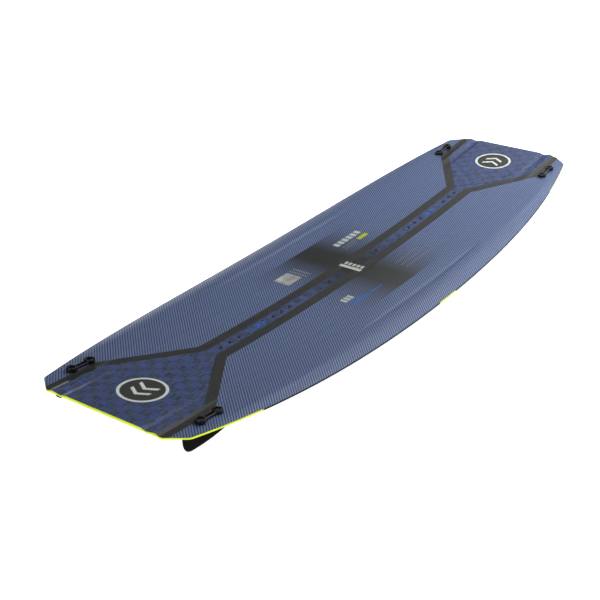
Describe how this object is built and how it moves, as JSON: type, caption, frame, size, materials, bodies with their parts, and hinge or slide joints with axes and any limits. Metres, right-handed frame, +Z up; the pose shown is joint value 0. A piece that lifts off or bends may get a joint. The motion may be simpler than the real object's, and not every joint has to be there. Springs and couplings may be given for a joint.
{
  "type": "kiteboard",
  "caption": "Rockered twin-tip kiteboard with wood core, laminates, carbon tapes, coloured rails, threaded strap and handle inserts and bolt-on fins.",
  "frame": {"origin": "mid length and mid width of the board, on the plane that the four fin tips stand on", "axes": "+X along the board, +Y across it, +Z up out of the deck"},
  "size_m": [1.39, 0.415, 0.0492],
  "materials": {
    "core_wood": "raw paulownia strips",
    "hull_glass": "clear-coated glass laminate over a dark blue print",
    "deck_twill": "clear-coated blue and grey twill",
    "spread_tow": "clear-coated chequered spread tow",
    "carbon": "clear-coated unidirectional carbon",
    "bright_rail": "smooth fluorescent yellow ABS",
    "dark_rail": "smooth dark ABS",
    "insert_plastic": "moulded",
    "insert_metal": "machined stainless",
    "sleeve_plastic": "moulded",
    "fin_plastic": "satin moulded glass-filled nylon",
    "brass": "machined",
    "washer_plastic": "gloss moulded",
    "screw_steel": "black oxide"
  },
  "bodies": {
    "board": {"core": "core_wood", "bottom_laminate": "hull_glass", "top_laminate": "deck_twill", "spread_tow_ply": "spread_tow", "carbon_tape_left": "carbon", "carbon_tape_right": "carbon", "tip_rail_front": "bright_rail", "tip_rail_back": "bright_rail", "side_rail_front_left": "dark_rail", "side_rail_front_right": "dark_rail", "side_rail_back_left": "dark_rail", "side_rail_back_right": "dark_rail", "mid_rail_left": "bright_rail", "mid_rail_right": "bright_rail", "strap_insert_cups_front": "insert_plastic", "strap_insert_cups_back": "insert_plastic", "handle_insert_cups": "insert_plastic", "strap_insert_bushes_front": "insert_metal", "strap_insert_bushes_back": "insert_metal", "handle_insert_bushes": "insert_metal", "fin_hole_sleeves": "sleeve_plastic"},
    "fin_front_left": {"fin_front_left": "fin_plastic", "fin_bushes_front_left": "brass"},
    "washer_front_left": {"fin_washer_front_left": "washer_plastic"},
    "screw_front_left_inner": {"fin_screw_front_left_inner": "screw_steel"},
    "screw_front_left_outer": {"fin_screw_front_left_outer": "screw_steel"},
    "fin_front_right": {"fin_front_right": "fin_plastic", "fin_bushes_front_right": "brass"},
    "washer_front_right": {"fin_washer_front_right": "washer_plastic"},
    "screw_front_right_inner": {"fin_screw_front_right_inner": "screw_steel"},
    "screw_front_right_outer": {"fin_screw_front_right_outer": "screw_steel"},
    "fin_back_left": {"fin_back_left": "fin_plastic", "fin_bushes_back_left": "brass"},
    "washer_back_left": {"fin_washer_back_left": "washer_plastic"},
    "screw_back_left_inner": {"fin_screw_back_left_inner": "screw_steel"},
    "screw_back_left_outer": {"fin_screw_back_left_outer": "screw_steel"},
    "fin_back_right": {"fin_back_right": "fin_plastic", "fin_bushes_back_right": "brass"},
    "washer_back_right": {"fin_washer_back_right": "washer_plastic"},
    "screw_back_right_inner": {"fin_screw_back_right_inner": "screw_steel"},
    "screw_back_right_outer": {"fin_screw_back_right_outer": "screw_steel"}
  },
  "joints": [
    {"name": "fin_front_left_drop", "type": "slide", "parent": "board", "child": "fin_front_left", "axis": [0.0941, 0, -0.9956], "range_m": [0, 0.04]},
    {"name": "washer_front_left_lift", "type": "slide", "parent": "board", "child": "washer_front_left", "axis": [-0.0941, 0, 0.9956], "range_m": [0, 0.03]},
    {"name": "screw_front_left_inner_out", "type": "slide", "parent": "washer_front_left", "child": "screw_front_left_inner", "axis": [-0.0941, 0, 0.9956], "range_m": [0, 0.025]},
    {"name": "screw_front_left_outer_out", "type": "slide", "parent": "washer_front_left", "child": "screw_front_left_outer", "axis": [-0.0941, 0, 0.9956], "range_m": [0, 0.025]},
    {"name": "fin_front_right_drop", "type": "slide", "parent": "board", "child": "fin_front_right", "axis": [0.0941, 0, -0.9956], "range_m": [0, 0.04]},
    {"name": "washer_front_right_lift", "type": "slide", "parent": "board", "child": "washer_front_right", "axis": [-0.0941, 0, 0.9956], "range_m": [0, 0.03]},
    {"name": "screw_front_right_inner_out", "type": "slide", "parent": "washer_front_right", "child": "screw_front_right_inner", "axis": [-0.0941, 0, 0.9956], "range_m": [0, 0.025]},
    {"name": "screw_front_right_outer_out", "type": "slide", "parent": "washer_front_right", "child": "screw_front_right_outer", "axis": [-0.0941, 0, 0.9956], "range_m": [0, 0.025]},
    {"name": "fin_back_left_drop", "type": "slide", "parent": "board", "child": "fin_back_left", "axis": [-0.0941, 0, -0.9956], "range_m": [0, 0.04]},
    {"name": "washer_back_left_lift", "type": "slide", "parent": "board", "child": "washer_back_left", "axis": [0.0941, 0, 0.9956], "range_m": [0, 0.03]},
    {"name": "screw_back_left_inner_out", "type": "slide", "parent": "washer_back_left", "child": "screw_back_left_inner", "axis": [0.0941, 0, 0.9956], "range_m": [0, 0.025]},
    {"name": "screw_back_left_outer_out", "type": "slide", "parent": "washer_back_left", "child": "screw_back_left_outer", "axis": [0.0941, 0, 0.9956], "range_m": [0, 0.025]},
    {"name": "fin_back_right_drop", "type": "slide", "parent": "board", "child": "fin_back_right", "axis": [-0.0941, 0, -0.9956], "range_m": [0, 0.04]},
    {"name": "washer_back_right_lift", "type": "slide", "parent": "board", "child": "washer_back_right", "axis": [0.0941, 0, 0.9956], "range_m": [0, 0.03]},
    {"name": "screw_back_right_inner_out", "type": "slide", "parent": "washer_back_right", "child": "screw_back_right_inner", "axis": [0.0941, 0, 0.9956], "range_m": [0, 0.025]},
    {"name": "screw_back_right_outer_out", "type": "slide", "parent": "washer_back_right", "child": "screw_back_right_outer", "axis": [0.0941, 0, 0.9956], "range_m": [0, 0.025]}
  ]
}
